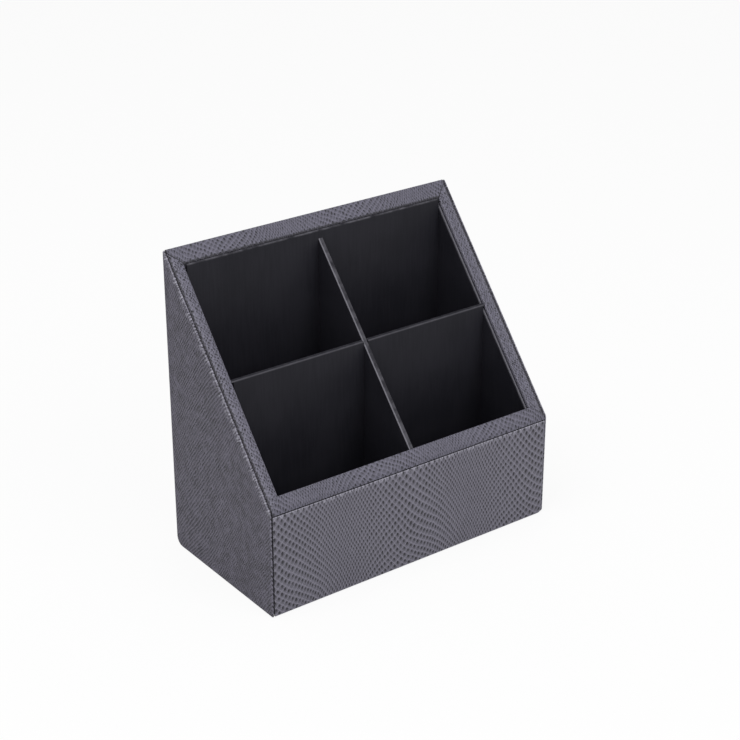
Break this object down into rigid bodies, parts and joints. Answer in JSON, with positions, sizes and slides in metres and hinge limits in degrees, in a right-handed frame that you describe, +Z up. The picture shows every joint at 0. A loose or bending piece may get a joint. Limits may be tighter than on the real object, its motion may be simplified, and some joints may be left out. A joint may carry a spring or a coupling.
{
  "type": "remote control holder",
  "caption": "Desk-top box with a sloping mouth and crossed inner dividers, grained skin outside and dark lining, to stand remote controls in.",
  "frame": {"origin": "middle of the footprint, on the surface that the holder stands on", "axes": "+X across to the right seen from the front, +Y from the low front to the high back, +Z up"},
  "size_m": [0.2, 0.102, 0.1881],
  "materials": {
    "board": "fibreboard, dyed dark",
    "leatherette": "grey embossed leatherette, satin",
    "lining": "smooth black covering, satin",
    "felt": "black felt"
  },
  "bodies": {
    "root": {"left_side_board": "board", "right_side_board": "board", "front_board": "board", "back_board": "board", "base_board": "board", "left_side_panel": "leatherette", "right_side_panel": "leatherette", "front_panel": "leatherette", "back_panel": "leatherette", "left_rim_strip": "leatherette", "right_rim_strip": "leatherette", "front_rim_strip": "leatherette", "back_rim_strip": "leatherette", "left_lining": "lining", "right_lining": "lining", "front_lining": "lining", "back_lining": "lining", "floor_lining": "lining", "long_divider": "lining", "cross_divider": "lining", "base_cover": "felt"}
  },
  "joints": []
}
